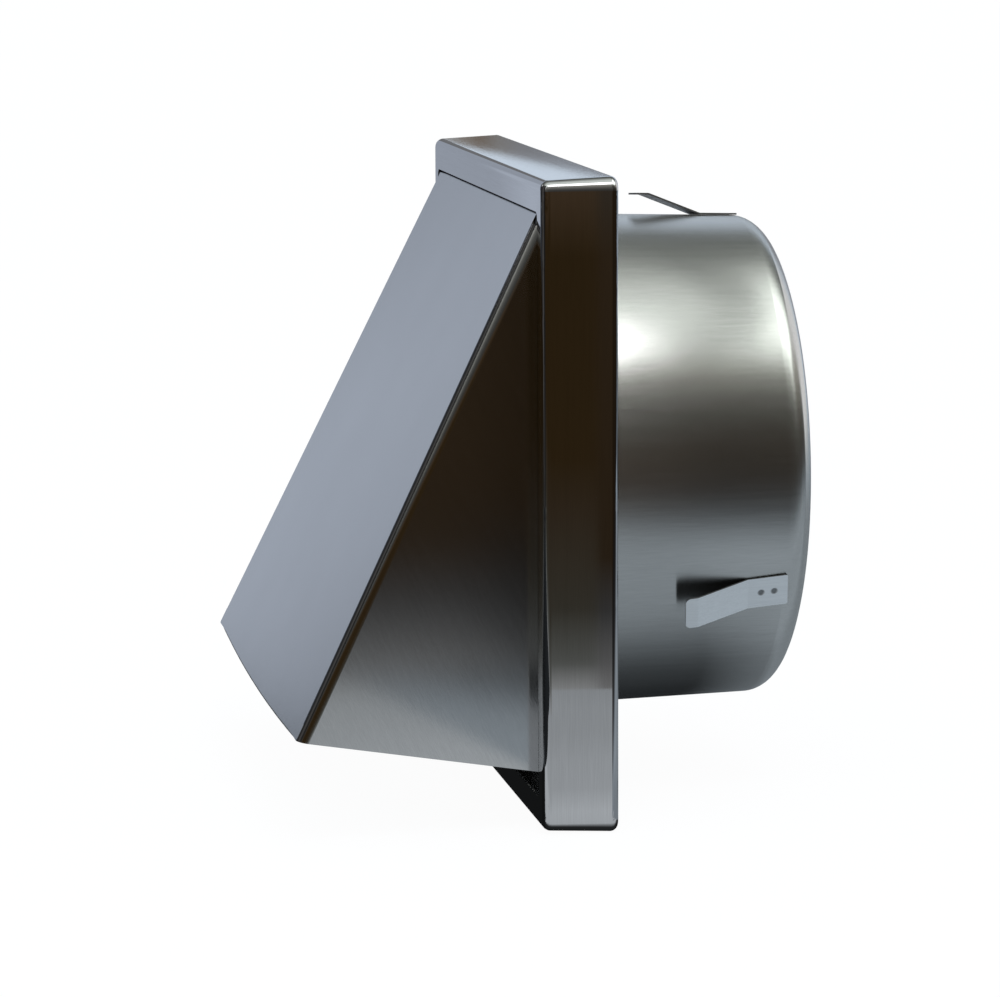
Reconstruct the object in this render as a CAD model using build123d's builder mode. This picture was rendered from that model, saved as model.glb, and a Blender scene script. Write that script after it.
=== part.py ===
from build123d import *
import os
from math import atan2, cos, degrees, hypot, radians, sin

os.makedirs("parts", exist_ok=True)

# A cowled air intake vent of pressed stainless sheet for a round duct through a wall.
# Millimetres. The origin is on the duct's axis, at the frame's back, on the wall.
# +X is to the viewer's right facing the wall, +Y goes into the duct and +Z is up.

# Sheet: the frame, the hood and the spigot are pressed from one gauge
sheet = 0.6

# Frame: a square drawn pan, its walls drafted, a window in front, its back edge turned in
frame_side = 186.0
frame_depth = 21.7
frame_draft = 1.1
frame_drop = 1.35
frame_corner_r = 4.0
frame_front_r = 2.5
frame_back_r = 2.0
strip_side = 7.3
strip_top = 9.1
strip_bottom = 8.5
window_corner_r = 2.0
back_lip = 7.0
back_corner_r = 3.0

# Hood: one folded sheet, a sloping face between two cheeks that splay outwards
hood_reach = 70.3
hood_overhang = 3.5
hood_face_drop = 143.6
cheek_flare = 13.8
hood_bend_r = 2.8
slot_height = 0.55
lip_set_back = 0.4
lip_depth = 6.0
lip_bend_r = 1.0
lip_root = 3.0
cheek_gap = 0.1
flange_edge_gap = 0.5
flange_corner_r = 2.0
hem_height = 5.0
hem_bow = 1.9

# Spigot: a square plate with a round cup drawn from it, its bottom punched out
spigot_length = 62.2
spigot_root_r = 73.6
spigot_end_r = 71.9
spigot_nose_r = 8.0
spigot_rim = 2.0
draw_r = 3.0
plate_gap = 0.3
plate_corner_r = 2.5
plate_seam = 2.0

# Spring clips: three folded spring strips, each spot welded to the spigot by one end
clip_width = 10.2
clip_thickness = 0.5
clip_end_gap = 6.9
clip_foot = 11.9
clip_run = 16.1
clip_rise = 5.8
clip_toe = 3.5
clip_bend_r = 1.5
clip_toe_corner_r = 1.5
clip_foot_corner_r = 0.6
clip_seat_gap = 0.02
clip_side_angle = -25.4
clip_skew_angle = -5.2
clip_spacing_angle = 120.0
weld_pitch = 3.9
weld_mark_d = 2.0
weld_mark_depth = 0.25

# Guard: welded wire mesh across the throat, welded to the spigot's plate
wire_d = 1.0
wire_weld_sink = 0.1
mesh_cells = 10
mesh_overhang = 3.0

front_y = -frame_depth
frame_half = frame_side / 2
front_half = frame_half - frame_draft
plate_front_y = -2 * sheet
cut_margin = 5.0


def duct_plane(y):
    """A plane facing out of the wall at depth y, centred on the duct's axis."""
    return Plane.XZ.offset(-y)


def frame_plane(y):
    """The same, centred on the frame, whose middle lies a little under the duct's axis."""
    return Plane(origin=(0, y, -frame_drop), x_dir=(1, 0, 0), z_dir=(0, -1, 0))


# Frame
wall_slope = frame_draft / frame_depth
window_width = 2 * (front_half - strip_side)
window_height = 2 * front_half - strip_top - strip_bottom
window_mid = (strip_bottom - strip_top) / 2
window_top_z = front_half - strip_top - frame_drop
back_opening = frame_side - 2 * back_lip


def frame_block(inset):
    """The frame's outline as a solid block, drawn in by inset on every side."""
    side = frame_side - 2 * inset * (hypot(1, wall_slope) + wall_slope)
    with BuildPart() as block:
        with BuildSketch(frame_plane(-inset)):
            RectangleRounded(side, side, frame_corner_r - inset)
        extrude(amount=frame_depth - 2 * inset, taper=degrees(atan2(wall_slope, 1)))
        fillet(block.faces().sort_by(Axis.Y)[0].edges(), frame_front_r - inset)
        fillet(block.faces().sort_by(Axis.Y)[-1].edges(), frame_back_r - inset)
    return block.part


with BuildPart() as frame:
    add(frame_block(0))
    add(frame_block(sheet), mode=Mode.SUBTRACT)
    with BuildSketch(frame_plane(front_y)):
        with Locations((0, window_mid)):
            RectangleRounded(window_width, window_height, window_corner_r)
    extrude(amount=-sheet, mode=Mode.SUBTRACT)
    with BuildSketch(frame_plane(-sheet)):
        RectangleRounded(back_opening, back_opening, back_corner_r)
    extrude(amount=-sheet, mode=Mode.SUBTRACT)
frame.part.label = "frame"
export_step(frame.part, "parts/frame.step")


# Hood
hood_slope = hood_face_drop / hood_reach
lip_top_z = window_top_z - slot_height
lip_edge_y = front_y + lip_set_back
hood_root_z = lip_top_z - hood_slope * lip_set_back
mouth_slope = cheek_flare / hood_reach
hood_tip_z = hood_root_z - hood_face_drop
hood_tip_x = frame_half + hood_overhang
cheek_root_x = window_width / 2 - cheek_gap
cheek_splay = (hood_tip_x - cheek_root_x) / hood_reach
hood_back_y = front_y + 2 * sheet
hood_tip_y = front_y - hood_reach
slope_angle = atan2(hood_face_drop, hood_reach)


def face_z(y):
    """Height of the sloping face's outer surface at depth y."""
    return hood_root_z + hood_slope * (y - front_y)


def mouth_z(y):
    """Height of the cheeks' lower edges at depth y, level with the face's at the tip."""
    return hood_tip_z - mouth_slope * (y - hood_tip_y)


def cheek_x(y):
    """Half width over the cheeks at depth y."""
    return cheek_root_x - cheek_splay * (y - front_y)


flange_half = front_half - frame_front_r - flange_edge_gap
flange_top_z = flange_half - frame_drop
flange_front_y = front_y + sheet
flange_bottom_z = mouth_z(hood_back_y)
flange_opening_half = cheek_x(flange_front_y) - sheet
lip_half = cheek_root_x - hood_bend_r
lip_start = Plane(
    origin=(0, lip_edge_y, lip_top_z),
    x_dir=(1, 0, 0),
    z_dir=(0, cos(slope_angle), sin(slope_angle)),
).offset(-lip_root)
hem_half = hood_tip_x - hood_bend_r
hem_plane = Plane(
    origin=(0, hood_tip_y, hood_tip_z),
    x_dir=(1, 0, 0),
    z_dir=(0, -sin(slope_angle), cos(slope_angle)),
)


def hood_block(inset, spare):
    """The space under the hood's skin, drawn in by inset and run past its open sides by spare."""
    back = hood_back_y + spare
    tip = hood_tip_y - spare
    face_drop = inset / cos(slope_angle)
    cheek_inset = inset * hypot(1, cheek_splay)
    with BuildPart() as block:
        with BuildSketch(Plane.YZ):
            with BuildLine():
                Polyline(
                    (back, face_z(back) - face_drop),
                    (tip, face_z(tip) - face_drop),
                    (back, mouth_z(back) - spare),
                    close=True,
                )
            make_face()
        extrude(amount=frame_side, both=True)
        with BuildSketch(Plane.XY):
            with BuildLine():
                Polyline(
                    (cheek_inset - cheek_x(back), back),
                    (cheek_inset - cheek_x(tip - cut_margin), tip - cut_margin),
                    (cheek_x(tip - cut_margin) - cheek_inset, tip - cut_margin),
                    (cheek_x(back) - cheek_inset, back),
                    close=True,
                )
            make_face()
        extrude(amount=frame_side, both=True, mode=Mode.INTERSECT)
        slope_face = block.faces().filter_by(lambda f: f.normal_at().Z > 0.1)[0]
        creases = slope_face.edges().filter_by(lambda e: abs(e.tangent_at(0.5).Z) > 0.5)
        fillet(creases, hood_bend_r - inset)
    return block.part


with BuildPart() as hood:
    add(hood_block(0, 0))
    add(hood_block(sheet, cut_margin), mode=Mode.SUBTRACT)
    # Lip: the face's upper edge is turned in, a narrow slot below the frame's top strip
    split(bisect_by=lip_start, keep=Keep.BOTTOM)
    with BuildSketch(Plane.YZ):
        with BuildLine():
            FilletPolyline(
                (lip_start.origin.Y, lip_start.origin.Z),
                (lip_edge_y, lip_top_z),
                (lip_edge_y + lip_depth, lip_top_z),
                radius=lip_bend_r,
            )
            offset(amount=sheet, side=Side.RIGHT)
        make_face()
    extrude(amount=lip_half, both=True)
    # Flanges behind the frame's side strips
    with BuildSketch(duct_plane(flange_front_y)) as flange:
        with BuildLine():
            Polyline(
                (-flange_half, flange_bottom_z),
                (-flange_half, flange_top_z),
                (flange_half, flange_top_z),
                (flange_half, flange_bottom_z),
                close=True,
            )
        make_face()
        fillet(flange.vertices().group_by(Axis.Z)[-1], flange_corner_r)
        with BuildLine():
            Polyline(
                (-flange_opening_half, flange_bottom_z),
                (-flange_opening_half, flange_top_z),
                (flange_opening_half, flange_top_z),
                (flange_opening_half, flange_bottom_z),
                close=True,
            )
        make_face(mode=Mode.SUBTRACT)
    extrude(amount=-sheet)
    # Hem: the face's lower edge is cut to a shallow bow and folded back inside
    with BuildLine(hem_plane) as bow:
        ThreePointArc((-hem_half, 0), (0, -hem_bow), (hem_half, 0))
    with BuildSketch(Plane(origin=bow.line @ 0, x_dir=-hem_plane.z_dir, z_dir=bow.line % 0)):
        with BuildLine():
            fold = CenterArc((sheet, sheet), sheet, 180, 180)
            Polyline(fold @ 1, (2 * sheet, hem_height), (0, hem_height), fold @ 0)
        make_face()
    sweep(path=bow.line)
hood.part.label = "hood"
export_step(hood.part, "parts/hood.step")


# Spigot
plate_side = frame_side - 2 * (frame_back_r + plate_gap)
seam_r = spigot_root_r + draw_r + plate_seam

with BuildPart() as spigot:
    with BuildSketch(Plane.XY):
        with BuildLine():
            FilletPolyline(
                (seam_r, -sheet),
                (spigot_root_r, -sheet),
                (spigot_end_r, spigot_length),
                (spigot_end_r - spigot_nose_r - spigot_rim, spigot_length),
                radius=[draw_r, spigot_nose_r],
            )
            offset(amount=sheet, side=Side.LEFT)
        make_face()
    revolve(axis=Axis.Y)
    with BuildSketch(frame_plane(plate_front_y)):
        RectangleRounded(plate_side, plate_side, plate_corner_r)
        with Locations((0, frame_drop)):
            Circle(seam_r - plate_seam / 2, mode=Mode.SUBTRACT)
    extrude(amount=-sheet)
spigot.part.label = "spigot"
export_step(spigot.part, "parts/spigot.step")


# Spring clips
spigot_draft = atan2(spigot_root_r - spigot_end_r, spigot_length + sheet)
clip_foot_y = spigot_length - clip_end_gap - clip_foot / 2
clip_seat_r = spigot_root_r - (clip_foot_y + sheet) * sin(spigot_draft) + clip_seat_gap
clip_toe_x = -clip_foot / 2 - clip_run - clip_toe
clip_outwards = Vector(cos(radians(clip_side_angle)), 0, sin(radians(clip_side_angle)))
clip_around = Vector(0, 1, 0).cross(clip_outwards)
clip_down_wall = Vector(0, cos(spigot_draft), 0) - clip_outwards * sin(spigot_draft)
clip_skew = radians(clip_skew_angle)
clip_along = clip_down_wall * cos(clip_skew) + clip_around * sin(clip_skew)
mark_r = (weld_mark_d**2 / 4 + weld_mark_depth**2) / (2 * weld_mark_depth)

# Plane through a clip's middle line: x towards the duct, y away from the spigot's axis
clip_side = Plane(
    origin=clip_outwards * clip_seat_r + Vector(0, clip_foot_y, 0),
    x_dir=clip_along,
    z_dir=clip_along.cross(clip_outwards),
)

# A strip with its foot on the spigot, a ramp that rises towards the frame and a flat toe
with BuildPart() as spring_clip_right:
    with BuildSketch(clip_side):
        with BuildLine():
            FilletPolyline(
                (clip_foot / 2, 0),
                (-clip_foot / 2, 0),
                (-clip_foot / 2 - clip_run, clip_rise),
                (clip_toe_x, clip_rise),
                radius=clip_bend_r,
            )
            offset(amount=clip_thickness, side=Side.RIGHT)
        make_face()
    extrude(amount=clip_width / 2, both=True)
    # The strip's four corners, two at the toe and two at the foot
    corners = spring_clip_right.edges().filter_by(Axis(clip_side.origin, clip_side.y_dir))
    corners = corners.sort_by(lambda e: clip_side.to_local_coords(e.center()).X)
    fillet(corners[:2], clip_toe_corner_r)
    fillet(corners[-2:], clip_foot_corner_r)
    # Two electrode marks in the foot's outer face
    for place in (-weld_pitch / 2, weld_pitch / 2):
        mark_y = clip_thickness - weld_mark_depth + mark_r
        with Locations(clip_side.from_local_coords((place, mark_y, 0))):
            Sphere(mark_r, mode=Mode.SUBTRACT)
spring_clip_right.part.label = "spring_clip_right"
export_step(spring_clip_right.part, "parts/spring_clip_right.step")

with BuildPart() as spring_clip_top:
    add(spring_clip_right.part, rotation=(0, -clip_spacing_angle, 0))
spring_clip_top.part.label = "spring_clip_top"
export_step(spring_clip_top.part, "parts/spring_clip_top.step")

with BuildPart() as spring_clip_left:
    add(spring_clip_right.part, rotation=(0, clip_spacing_angle, 0))
spring_clip_left.part.label = "spring_clip_left"
export_step(spring_clip_left.part, "parts/spring_clip_left.step")


# Guard mesh
mesh_span = 2 * (spigot_root_r + draw_r)
mesh_pitch = mesh_span / mesh_cells
wire_length = mesh_span + 2 * mesh_overhang
upright_y = plate_front_y - wire_d / 2
crosswire_y = upright_y - wire_d + wire_weld_sink

with BuildPart() as guard_mesh:
    with BuildSketch(Plane.XY.offset(-wire_length / 2)):
        with Locations((0, upright_y)):
            with GridLocations(mesh_pitch, 0, mesh_cells + 1, 1):
                Circle(wire_d / 2)
    extrude(amount=wire_length)
    with BuildSketch(Plane.YZ.offset(-wire_length / 2)):
        with Locations((crosswire_y, 0)):
            with GridLocations(0, mesh_pitch, 1, mesh_cells + 1):
                Circle(wire_d / 2)
    extrude(amount=wire_length)
guard_mesh.part.label = "guard_mesh"
export_step(guard_mesh.part, "parts/guard_mesh.step")
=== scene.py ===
from math import atan2, cos, radians, sin

import bpy
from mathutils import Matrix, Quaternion, Vector


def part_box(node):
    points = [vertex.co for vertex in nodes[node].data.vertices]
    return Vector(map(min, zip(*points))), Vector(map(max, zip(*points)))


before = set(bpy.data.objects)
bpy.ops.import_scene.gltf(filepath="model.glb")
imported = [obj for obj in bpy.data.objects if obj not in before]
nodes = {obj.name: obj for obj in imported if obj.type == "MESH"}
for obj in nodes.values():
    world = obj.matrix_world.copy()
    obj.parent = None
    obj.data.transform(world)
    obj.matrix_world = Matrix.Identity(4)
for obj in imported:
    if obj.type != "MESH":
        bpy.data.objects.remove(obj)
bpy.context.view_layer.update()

# Frame
# The square pan that stands on the wall: 0.6 mm stainless sheet, drawn in a press and
# blanked out in front, its back edge turned in on the wall. Each side is brushed lengthways.
MM = 0.001


def feed(tree, socket, term):
    """Gives an input its term, which is either another node's output or a plain value."""
    if isinstance(term, bpy.types.NodeSocket):
        tree.links.new(term, socket)
    else:
        socket.default_value = term


def joined(tree, node, terms, result=0):
    """Feeds a node's inputs in order and returns its result."""
    for socket, term in zip(node.inputs, terms):
        feed(tree, socket, term)
    return node.outputs[result]


def maths(tree, operation, *terms):
    """The result of a sum on numbers."""
    node = tree.nodes.new("ShaderNodeMath")
    node.operation = operation
    return joined(tree, node, terms)


def vector_maths(tree, operation, *terms):
    """The result of a sum on vectors, a number for some of the sums."""
    node = tree.nodes.new("ShaderNodeVectorMath")
    node.operation = operation
    return joined(tree, node, terms, operation in ("DOT_PRODUCT", "DISTANCE", "LENGTH"))


def mixed(tree, share, first, second):
    """first where share is 0, second where it is 1, for vectors."""
    node = tree.nodes.new("ShaderNodeMix")
    node.data_type = "VECTOR"
    for place, term in ((0, share), (4, first), (5, second)):
        feed(tree, node.inputs[place], term)
    return node.outputs[1]


def ranged(tree, value, start, end, low, high):
    """value's range from start to end spread over low to high."""
    node = tree.nodes.new("ShaderNodeMapRange")
    return joined(tree, node, (value, start, end, low, high))


def object_place(tree):
    """Where a point lies on the vent, in metres."""
    return tree.nodes.new("ShaderNodeTexCoord").outputs["Object"]


def surface_normal(tree):
    """Which way the surface faces."""
    return tree.nodes.new("ShaderNodeNewGeometry").outputs["Normal"]


def brushed_steel(name, colour, along, rough, stretch, relief=0.07, tilt=(0.0, 0.0, 0.0)):
    """Stainless sheet brushed in one direction.

    along is the grain as a unit vector, rough the roughness, stretch the anisotropy, relief
    the depth of the scratches and tilt the turn that brings the texture's z onto the grain.
    Two noises drawn out along the grain give scratches and streaks, and a broad one gives the
    cloudy patches that rolling leaves. The nodes called turn, grain and bump can be given
    other places, grains and normals.
    """
    material = bpy.data.materials.new(name)
    material.use_nodes = True
    tree = material.node_tree
    link = tree.links.new
    shader = tree.nodes["Principled BSDF"]
    shader.inputs["Metallic"].default_value = 1.0
    shader.inputs["Anisotropic"].default_value = stretch

    turn = tree.nodes.new("ShaderNodeMapping")
    turn.name = "turn"
    turn.inputs["Rotation"].default_value = tilt
    link(object_place(tree), turn.inputs["Vector"])

    def drawn_noise(across, length, detail):
        """Noise whose patches have the given width and length, between 0 and 1."""
        scale = tree.nodes.new("ShaderNodeMapping")
        scale.inputs["Scale"].default_value = (1 / across, 1 / across, 1 / length)
        link(turn.outputs["Vector"], scale.inputs["Vector"])
        noise = tree.nodes.new("ShaderNodeTexNoise")
        noise.inputs["Scale"].default_value = 1.0
        noise.inputs["Detail"].default_value = detail
        link(scale.outputs["Vector"], noise.inputs["Vector"])
        return ranged(tree, noise.outputs["Fac"], 0.3, 0.7, 0.0, 1.0)

    scratches = drawn_noise(0.22 * MM, 9 * MM, 3)
    streaks = drawn_noise(1.4 * MM, 60 * MM, 2)
    clouds = drawn_noise(28 * MM, 45 * MM, 2)

    # Half of the shading is scratches, a quarter streaks and a quarter clouds
    fine = maths(tree, "MULTIPLY", scratches, 0.5)
    medium = maths(tree, "MULTIPLY_ADD", streaks, 0.25, fine)
    mottle = maths(tree, "MULTIPLY_ADD", clouds, 0.25, medium)
    darkest, lightest = 0.91, 1.09
    shade = ranged(tree, mottle, 0.0, 1.0, darkest, lightest)
    link(vector_maths(tree, "MULTIPLY", colour, shade), shader.inputs["Base Color"])

    unevenness = 0.006
    blur = ranged(tree, streaks, 0.0, 1.0, rough - unevenness, rough + unevenness)
    link(blur, shader.inputs["Roughness"])

    bump = tree.nodes.new("ShaderNodeBump")
    bump.name = "bump"
    bump.inputs["Strength"].default_value = relief
    bump.inputs["Distance"].default_value = 0.02 * MM
    link(scratches, bump.inputs["Height"])
    link(bump.outputs["Normal"], shader.inputs["Normal"])

    grain = tree.nodes.new("ShaderNodeVectorMath")
    grain.name = "grain"
    grain.operation = "CROSS_PRODUCT"
    link(joined(tree, grain, (surface_normal(tree), along)), shader.inputs["Tangent"])
    return material


def dress(name, material):
    """Puts a material on every slot of a CAD node."""
    node = nodes[name]
    for slot in node.material_slots:
        slot.material = material


frame_low, frame_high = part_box("frame")
frame_middle = (frame_low.z + frame_high.z) / 2
frame_steel = brushed_steel("frame_steel", (0.5, 0.5, 0.51), (0, 0, 1), 0.045, 0.9, 0.02)

# Beside the window |x| is over |z|; above and below it the grain's x and z change places
tree = frame_steel.node_tree
place = object_place(tree)
parts = tree.nodes.new("ShaderNodeSeparateXYZ")
joined(tree, parts, (place,))
across = maths(tree, "ABSOLUTE", parts.outputs["X"])
upright = maths(tree, "ABSOLUTE", maths(tree, "SUBTRACT", parts.outputs["Z"], frame_middle))
beside = maths(tree, "GREATER_THAN", across, upright)
swapped = joined(
    tree, tree.nodes.new("ShaderNodeCombineXYZ"),
    (parts.outputs["Z"], parts.outputs["Y"], parts.outputs["X"]),
)
joined(tree, tree.nodes["turn"], (mixed(tree, beside, swapped, place),))
tree.links.new(mixed(tree, beside, (1, 0, 0), (0, 0, 1)), tree.nodes["grain"].inputs[1])
dress("frame", frame_steel)

# Spigot
# A square plate with a round cup drawn from it, the cup's bottom punched out. The drawing
# stretches the sheet, so its grain runs down the wall, along the duct.
spigot_steel = brushed_steel(
    "spigot_steel", (0.58, 0.58, 0.57), (0, 1, 0), 0.18, 1.0, 0.12, (radians(90), 0, 0)
)


def from_axis(tree):
    """The vector from the duct's axis straight out to a point."""
    return vector_maths(tree, "MULTIPLY", object_place(tree), (1, 0, 1))


# The cup is round about the duct's axis, so its normal points exactly away from that axis.
# Outside the cup the plate keeps the sheet's straight grain
cup_root_radius = 76.6 * MM
tree = spigot_steel.node_tree
reach = from_axis(tree)
away = vector_maths(tree, "NORMALIZE", reach)
flat = surface_normal(tree)
radial = vector_maths(tree, "MULTIPLY", away, vector_maths(tree, "DOT_PRODUCT", flat, away))
axial = vector_maths(tree, "MULTIPLY", flat, (0, 1, 0))
true_normal = vector_maths(tree, "NORMALIZE", vector_maths(tree, "ADD", radial, axial))
plate = maths(tree, "GREATER_THAN", vector_maths(tree, "LENGTH", reach), cup_root_radius)
tree.links.new(mixed(tree, plate, true_normal, flat), tree.nodes["bump"].inputs["Normal"])
ring = vector_maths(tree, "CROSS_PRODUCT", (0, 1, 0), away)
shader = tree.nodes["Principled BSDF"]
tree.links.new(mixed(tree, plate, ring, (1, 0, 0)), shader.inputs["Tangent"])
dress("spigot", spigot_steel)

# Guard
# Bright drawn wire welded at every crossing, and to the spigot's plate at its ends.
guard_wire = brushed_steel("guard_wire", (0.6, 0.6, 0.6), (0, 0, 1), 0.25, 0.0)
dress("guard_mesh", guard_wire)

# Hood
# One piece of the same sheet, folded along two creases, its lower edge hemmed. The grain
# runs down the slope.
face_drop, face_reach = 143.6 * MM, 70.3 * MM
slope = atan2(face_drop, face_reach)
hood_steel = brushed_steel(
    "hood_steel", (0.53, 0.535, 0.54), (0, cos(slope), sin(slope)), 0.13, 0.8,
    tilt=(slope - radians(90), 0, 0),
)
dress("hood", hood_steel)

# Spring clips
# Strips of matt spring steel, each folded twice and held to the spigot by two spot welds,
# which leave dark marks. Shade is painted on their cut edges and inner sides, and light is
# painted under the top one.
clip_steel = brushed_steel(
    "clip_spring_steel", (0.93, 0.95, 0.97), (0, 1, 0), 0.45, 0.0, tilt=(radians(90), 0, 0)
)
clip_angles = {"right": -25.4, "top": 94.6, "left": 214.6}
weld_radius, weld_depth, weld_pitch = 72.77 * MM, 49.35 * MM, 3.9 * MM
spigot_draft, clip_skew = radians(1.566), radians(-5.2)
tree = clip_steel.node_tree
place = object_place(tree)
nearest = 1.0
for angle in clip_angles.values():
    turned = radians(angle)
    out = Vector((cos(turned), 0, sin(turned)))
    around = Vector((sin(turned), 0, -cos(turned)))
    down_wall = Vector((0, cos(spigot_draft), 0)) - out * sin(spigot_draft)
    strip = down_wall * cos(clip_skew) + around * sin(clip_skew)
    middle = out * weld_radius + Vector((0, weld_depth, 0))
    for end in (-0.5, 0.5):
        gap = vector_maths(tree, "DISTANCE", place, tuple(middle + strip * weld_pitch * end))
        nearest = maths(tree, "MINIMUM", gap, nearest)
mark = ranged(tree, nearest, 0.7 * MM, 1.2 * MM, 0.3, 1.0)

away = vector_maths(tree, "NORMALIZE", from_axis(tree))
facing = vector_maths(tree, "DOT_PRODUCT", surface_normal(tree), away)
# Painted shade: the colour falls to a twentieth on the cut edges and inner sides
painted_edge_shade = ranged(tree, facing, -0.05, 0.6, 0.05, 1.0)
height = vector_maths(tree, "DOT_PRODUCT", place, (0, 0, 1))
# Painted light: under the top clip the inner side is brought back up to 0.6 of its colour
painted_top_light = ranged(tree, height, 60 * MM, 70 * MM, 0.0, 0.6)
inner = ranged(tree, facing, -0.8, -0.4, 1.0, 0.0)
painted_light_and_shade = maths(tree, "MAXIMUM", painted_edge_shade, maths(tree, "MULTIPLY", painted_top_light, inner))
shader = tree.nodes["Principled BSDF"]
tone = shader.inputs["Base Color"].links[0].from_socket
# The real weld marks and the painted shade both darken the clip's colour
weld_marks_and_painted_shade = vector_maths(tree, "MULTIPLY", tone, maths(tree, "MULTIPLY", mark, painted_light_and_shade))
tree.links.new(weld_marks_and_painted_shade, shader.inputs["Base Color"])
for side in clip_angles:
    dress(f"spring_clip_{side}", clip_steel)

# Floor and backdrop
# A pale floor under the frame's lower edge. The camera sees it white, with a trace of the
# vent's shadow, and so is everything behind it.
lowest = frame_low.z
floor_half = 10.0


def seen_by(tree, kinds):
    """1 for rays of the given kinds, otherwise 0."""
    path = tree.nodes.new("ShaderNodeLightPath")
    value = path.outputs[kinds[0]]
    for kind in kinds[1:]:
        value = maths(tree, "MAXIMUM", value, path.outputs[kind])
    return value


def plane_mesh(name, corners):
    """A flat four-cornered sheet."""
    mesh = bpy.data.meshes.new(name)
    mesh.from_pydata([tuple(c) for c in corners], [], [(0, 1, 2, 3)])
    sheet = bpy.data.objects.new(name, mesh)
    bpy.context.scene.collection.objects.link(sheet)
    return sheet


floor = plane_mesh("floor", [
    (-floor_half, -floor_half, lowest), (floor_half, -floor_half, lowest),
    (floor_half, floor_half, lowest), (-floor_half, floor_half, lowest),
])
floor_paint = bpy.data.materials.new("floor_paint")
floor_paint.use_nodes = True
tree = floor_paint.node_tree
paint = tree.nodes["Principled BSDF"]
paint.inputs["Base Color"].default_value = (0.46, 0.52, 0.57, 1)
paint.inputs["Roughness"].default_value = 1.0
paint.inputs["Specular IOR Level"].default_value = 0.0
white = tree.nodes.new("ShaderNodeEmission")
white.inputs["Strength"].default_value = 1.07
shadow_trace = 0.1
whitened = maths(tree, "MULTIPLY", seen_by(tree, ["Is Camera Ray"]), 1 - shadow_trace)
mix = tree.nodes.new("ShaderNodeMixShader")
surface = joined(tree, mix, (whitened, paint.outputs[0], white.outputs[0]))
tree.links.new(surface, tree.nodes["Material Output"].inputs["Surface"])
floor.data.materials.append(floor_paint)

world = bpy.data.worlds.new("studio")
bpy.context.scene.world = world
world.use_nodes = True
tree = world.node_tree
sky = tree.nodes["Background"]
sky.inputs["Color"].default_value = (0.9, 0.95, 1.0, 1)
sky.inputs["Strength"].default_value = 0.8
white = tree.nodes.new("ShaderNodeBackground")
white.inputs["Color"].default_value = (1, 1, 1, 1)
white.inputs["Strength"].default_value = 1.0
backdrop = seen_by(tree, ["Is Camera Ray", "Is Glossy Ray", "Is Transmission Ray"])
mix = tree.nodes.new("ShaderNodeMixShader")
surface = joined(tree, mix, (backdrop, sky.outputs[0], white.outputs[0]))
tree.links.new(surface, tree.nodes["World Output"].inputs["Surface"])


# Cards
# Sheets of card round the vent, out of the picture, that only show in the steel, as a
# photographer sets them for bright metal: dark on the camera's side, grey on the far side.
def card(name, corners, stops, axis="Z", strength=1.0, other=None):
    """A flat card; stops are (place along axis, colour) pairs that its glow follows.

    other is (y_start, y_end, stops): stops that the glow changes to between two places in y.
    """
    sheet = plane_mesh(name, corners)
    sheet.visible_camera = False
    sheet.visible_diffuse = False
    sheet.visible_shadow = False
    sheet.visible_transmission = False
    material = bpy.data.materials.new(name)
    material.use_nodes = True
    tree = material.node_tree
    tree.nodes.remove(tree.nodes["Principled BSDF"])
    glow = tree.nodes.new("ShaderNodeEmission")
    glow.inputs["Strength"].default_value = strength
    split = tree.nodes.new("ShaderNodeSeparateXYZ")
    joined(tree, split, (object_place(tree),))

    def ramped(stops):
        """The colour that the stops give at a point."""
        low, high = stops[0][0], stops[-1][0]
        ramp = tree.nodes.new("ShaderNodeValToRGB")
        marks = ramp.color_ramp.elements
        while len(marks) < len(stops):
            marks.new(0.5)
        for mark, (height, colour) in zip(marks, stops):
            mark.position = (height - low) / (high - low)
            mark.color = (*colour, 1)
        return joined(tree, ramp, (ranged(tree, split.outputs[axis], low, high, 0.0, 1.0),))

    colour = ramped(stops)
    if other:
        y_start, y_end, other_stops = other
        share = ranged(tree, split.outputs["Y"], y_start, y_end, 0.0, 1.0)
        colour = mixed(tree, share, colour, ramped(other_stops))
    joined(tree, glow, (colour,))
    tree.links.new(glow.outputs[0], tree.nodes["Material Output"].inputs["Surface"])
    sheet.data.materials.append(material)


def upright_card(name, start, end, low, high_start, high_end, stops, axis="Z", other=None):
    """An upright card over the floor line from start to end."""
    corners = [(*start, low), (*end, low), (*end, high_end), (*start, high_start)]
    card(name, corners, stops, axis, other=other)


def level_card(name, x_ends, lower_side, upper_side, height, stops, strength=1.0, other=None):
    """A level card between two lines across x; each side holds its y at the two x_ends."""
    corners = [(x_ends[0], lower_side[0], height), (x_ends[1], lower_side[1], height),
               (x_ends[1], upper_side[1], height), (x_ends[0], upper_side[0], height)]
    card(name, corners, stops, "X", strength, other)


def tinted(tint, levels):
    """Stops of one tint: levels are (place, brightness) pairs."""
    return [(place, tuple(c * level for c in tint)) for place, level in levels]


# On the camera's side, dark below and lighter towards the top: one card for the frame, and
# one that changes from the tones at the spigot's root to those at its end
umber = (1.0, 0.64, 0.34)
top_levels = [(0.11, 0.06), (0.17, 0.13), (0.23, 0.25), (0.36, 0.6)]
front_dusk = [(-0.0943, (0.38, 0.39, 0.39)), (-0.085, (0.13, 0.135, 0.125)),
              (-0.067, (0.055, 0.05, 0.038)), (-0.034, (0.046, 0.032, 0.019)),
              (-0.017, (0.038, 0.023, 0.009)), (0.05, (0.038, 0.023, 0.009)),
              (0.07, (0.07, 0.045, 0.025))] + tinted((1, 1, 0.93), top_levels)
root_dusk = tinted((1, 1, 1), [(-0.0943, 0.25), (-0.085, 0.15), (-0.068, 0.055)]) + \
    tinted(umber, [(-0.05, 0.034), (-0.03, 0.036), (0.05, 0.042)]) + \
    tinted((1, 0.98, 0.87), top_levels)
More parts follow.
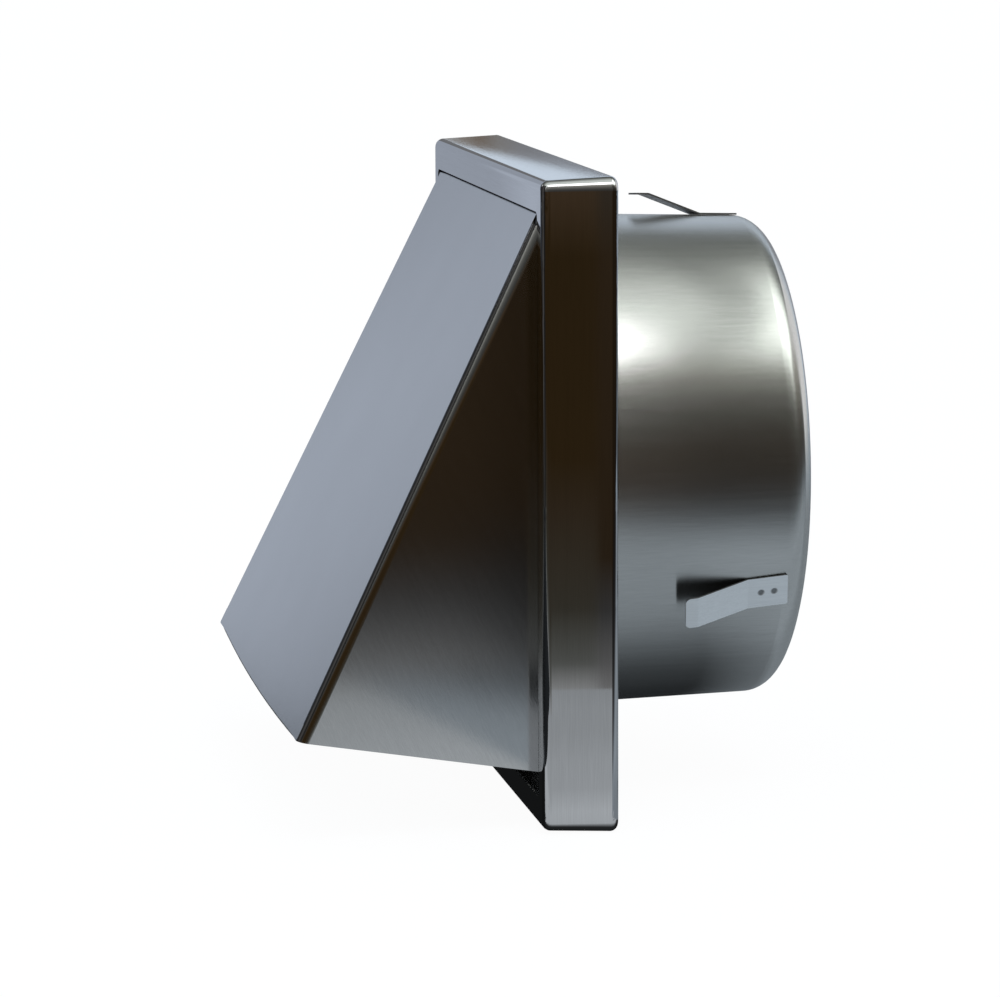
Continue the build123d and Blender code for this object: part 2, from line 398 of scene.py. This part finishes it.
end_dusk = tinted((1, 1, 1), [(-0.0943, 0.07), (-0.08, 0.028), (-0.062, 0.016)]) + \
    tinted(umber, [(-0.04, 0.021), (0.03, 0.024), (0.087, 0.027)]) + \
    tinted((1, 0.96, 0.82), [(0.148, 0.042), (0.23, 0.11), (0.36, 0.44)])
wall_x, wall_top = 0.3, 0.36
frame_edge = 0.0145
upright_card(
    "dark_card_frame", (wall_x, -0.5), (wall_x, frame_edge), lowest, wall_top, wall_top,
    front_dusk,
)
upright_card(
    "dark_card_spigot", (wall_x, frame_edge), (wall_x, 0.6), lowest, wall_top, wall_top,
    root_dusk, other=(0.07, 0.1, end_dusk),
)
upright_card("dark_wing_back", (wall_x, 0.6), (0.0, 1.0), lowest, 0.5, 0.5, end_dusk)

# In front, nearly black with one grey stripe, which the hood's creases show
stripe = tinted((1, 0.97, 0.95), [(-0.6, 0.03), (-0.2, 0.03), (0.0, 0.1), (0.1, 0.1),
                                  (0.18, 0.02), (0.3, 0.02)])
upright_card("dark_wing_front", (0.3, -0.5), (-0.6, -0.9), lowest, 0.7, 0.7, stripe, "X")

# On the far side, grey in front for the hood; behind it a brown one for the frame's top,
# with a slanting upper edge, and a light blue one farther off
upright_card(
    "grey_card", (-0.6, -0.9), (-0.6, -0.02), lowest, 0.5, 0.5,
    tinted((0.765, 0.85, 1.0), [(-0.9, 0.04), (-0.33, 0.1), (-0.25, 0.56), (-0.21, 0.61),
                                (-0.147, 0.65), (-0.133, 0.5), (-0.02, 0.48)]),
    "Y",
)
upright_card(
    "edge_card", (-0.52, -0.03), (-0.52, 0.045), lowest, 0.5, 0.5,
    tinted((0.93, 0.95, 1.0), [(-0.03, 0.2), (0.045, 0.2)]), "Y",
)
upright_card(
    "brown_card", (-0.5, 0.03), (-0.5, 0.5), lowest, 0.1208, 0.2853,
    [(0.03, (0.33, 0.33, 0.33)), (0.046, (0.33, 0.33, 0.33)), (0.053, (0.23, 0.21, 0.19)),
     (0.061, (0.17, 0.14, 0.115)), (0.069, (0.21, 0.205, 0.2)), (0.078, (0.21, 0.215, 0.23)),
     (0.094, (0.24, 0.255, 0.285)), (0.5, (0.24, 0.255, 0.285))],
    "Y",
)
upright_card(
    "blue_card", (-0.9, -0.1), (-0.9, 1.2), lowest, 0.76, 0.76,
    tinted((0.76, 0.87, 1.0), [(-0.1, 0.88), (1.2, 0.88)]), "Y",
)

# Overhead, one sheet for each part of the spigot: root, middle and rounded nose
ceiling_tint = (0.94, 1.0, 0.94)
ceiling = 0.92
far_levels = [(-4.15, 0.08), (-1.4, 0.115), (-0.6, 0.14)]
root_levels = [(-0.3, 0.32), (-0.1, 0.62), (0.0, 0.85), (0.15, 1.0), (0.6, 1.0), (0.75, 0.6)]
middle_levels = [(-0.3, 0.17), (-0.04, 0.28), (0.25, 0.55), (0.54, 0.7), (0.75, 0.35)]
nose_levels = [(-0.3, 0.08), (-0.04, 0.55), (0.15, 0.95), (0.45, 1.0), (0.75, 0.5)]
sheets_x = (-4.15, 0.75)
for name, lower_side, upper_side, levels, strength in (
    ("ceiling_card_root", (-1.0, -1.0), (-0.02, 0.32), root_levels, 1.1),
    ("ceiling_card_middle", (-0.02, 0.32), (-0.023, 0.353), middle_levels, 1.0),
    ("ceiling_card_nose", (-0.023, 0.353), (1.2, 1.2), nose_levels, 2.8),
):
    dull = [(place, level / strength) for place, level in far_levels]
    level_card(name, sheets_x, lower_side, upper_side, ceiling,
               tinted(ceiling_tint, dull + levels), strength)

# On the floor, painted shadow in front of and under the vent and painted light on the floor
# beside it
shade = lowest + 0.4 * MM
floor_tint, frame_tint = (0.88, 1.0, 1.1), (0.94, 1.0, 1.04)
# Painted floor shadow near the vent's foot and under the spigot, painted lit floor farther
# out; the front list is painted shadow almost all over
painted_floor_root = [(-0.6, 0.02), (0.0, 0.02), (0.034, 0.06), (0.053, 0.15), (0.072, 0.28),
              (0.091, 0.35), (0.145, 0.39), (0.188, 0.39), (0.25, 0.34), (0.3, 0.25)]
painted_floor_end = [(-0.6, 0.25), (-0.3, 0.22), (0.0, 0.3), (0.036, 0.32), (0.06, 0.44),
             (0.112, 0.38), (0.15, 0.5), (0.188, 0.4), (0.22, 0.3), (0.25, 0.16), (0.3, 0.07)]
painted_floor_frame = [(-0.6, 0.01), (0.0925, 0.01), (0.0945, 0.66), (0.12, 0.7), (0.15, 0.57),
               (0.19, 0.55), (0.23, 0.49), (0.268, 0.48), (0.3, 0.44)]
painted_shadow_front = [(-0.6, 0.16), (0.03, 0.16), (0.1, 0.02), (0.3, 0.03)]
floor_x, border = (-0.6, wall_x), (-0.0664, 0.0336)
level_card("floor_card_front", floor_x, (-1.0, -1.0), (-0.11, -0.11), shade,
           tinted(floor_tint, painted_shadow_front))
level_card("floor_card_frame", floor_x, (-0.11, -0.11), border, shade,
           tinted(frame_tint, painted_floor_frame))
level_card("floor_card_spigot", floor_x, border, (0.6, 0.6), shade,
           tinted(floor_tint, painted_floor_root), other=(0.045, 0.078, tinted(floor_tint, painted_floor_end)))

# Lamp
# One soft box above the camera's side, which gives the spigot its hot spot.
lamp_data = bpy.data.lights.new("soft_box", "AREA")
lamp_data.shape = "RECTANGLE"
lamp_data.size = 0.34
lamp_data.size_y = 0.58
lamp_data.energy = 2.25
lamp = bpy.data.objects.new("soft_box", lamp_data)
bpy.context.scene.collection.objects.link(lamp)
lamp.location = (0.58, -0.012, 0.9)
lamp.rotation_euler = (0, 0, radians(8.6))

# Camera
# A long lens from the vent's right, a little in front and above.
yaw, pitch, roll = radians(79.862), radians(8.661), radians(-0.245)
distance, sideways, upwards = 1.2676, 0.00433, -0.01011
target = Vector((0, frame_low.y, frame_middle))
camera_data = bpy.data.cameras.new("camera")
camera_data.lens = 152.05
camera_data.sensor_width = 36
camera = bpy.data.objects.new("camera", camera_data)
bpy.context.scene.collection.objects.link(camera)
back = Vector((sin(yaw) * cos(pitch), -cos(yaw) * cos(pitch), sin(pitch)))
camera.rotation_mode = "QUATERNION"
camera.rotation_quaternion = back.to_track_quat("Z", "Y") @ Quaternion((0, 0, 1), roll)
right = camera.rotation_quaternion @ Vector((1, 0, 0))
up = camera.rotation_quaternion @ Vector((0, 1, 0))
camera.location = target + back * distance + right * sideways + up * upwards
bpy.context.scene.camera = camera
bpy.context.scene.view_settings.view_transform = "Standard"
